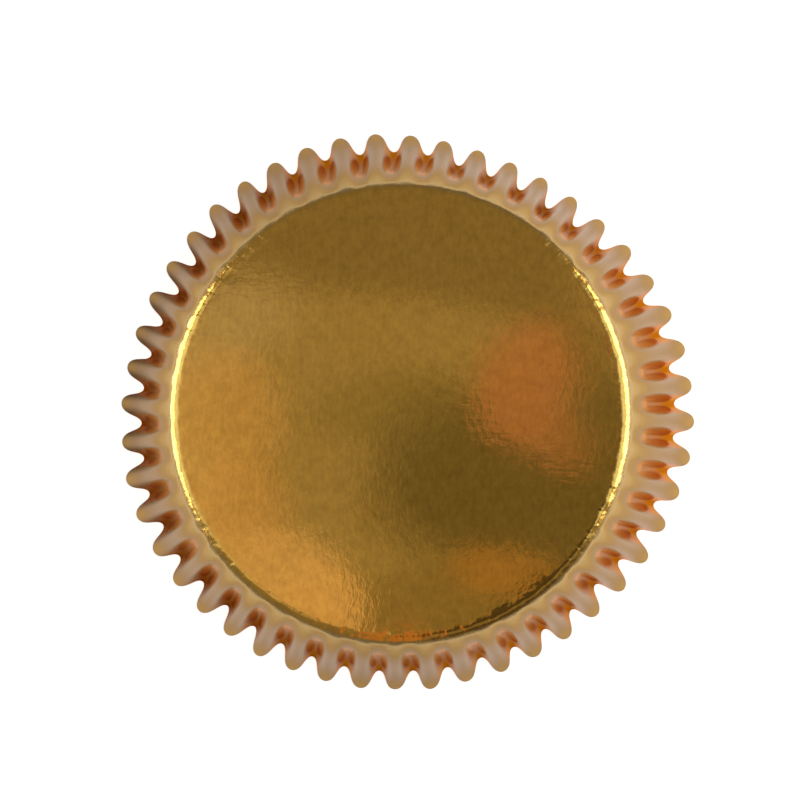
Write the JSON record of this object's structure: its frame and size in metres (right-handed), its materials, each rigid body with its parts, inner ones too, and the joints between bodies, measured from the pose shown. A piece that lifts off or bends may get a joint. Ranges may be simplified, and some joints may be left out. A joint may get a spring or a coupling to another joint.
{
  "type": "cupcake liner",
  "caption": "Round baking cup pressed from one sheet of foil-faced paper, with a flat base and a flared, fluted wall that curls out at the rim, standing on its rim with the mouth down.",
  "frame": {"origin": "centre of the rim plane, which is what it stands on, straight under the middle of the base", "axes": "+Z from the open mouth up to the outside of the flat base; +X along the long axis of the slightly oval rim"},
  "size_m": [0.071, 0.069, 0.032],
  "materials": {
    "foil_paper": "metallic gold foil on thin greaseproof paper, softly glossy"
  },
  "bodies": {
    "root": {"liner": "foil_paper"}
  },
  "joints": []
}
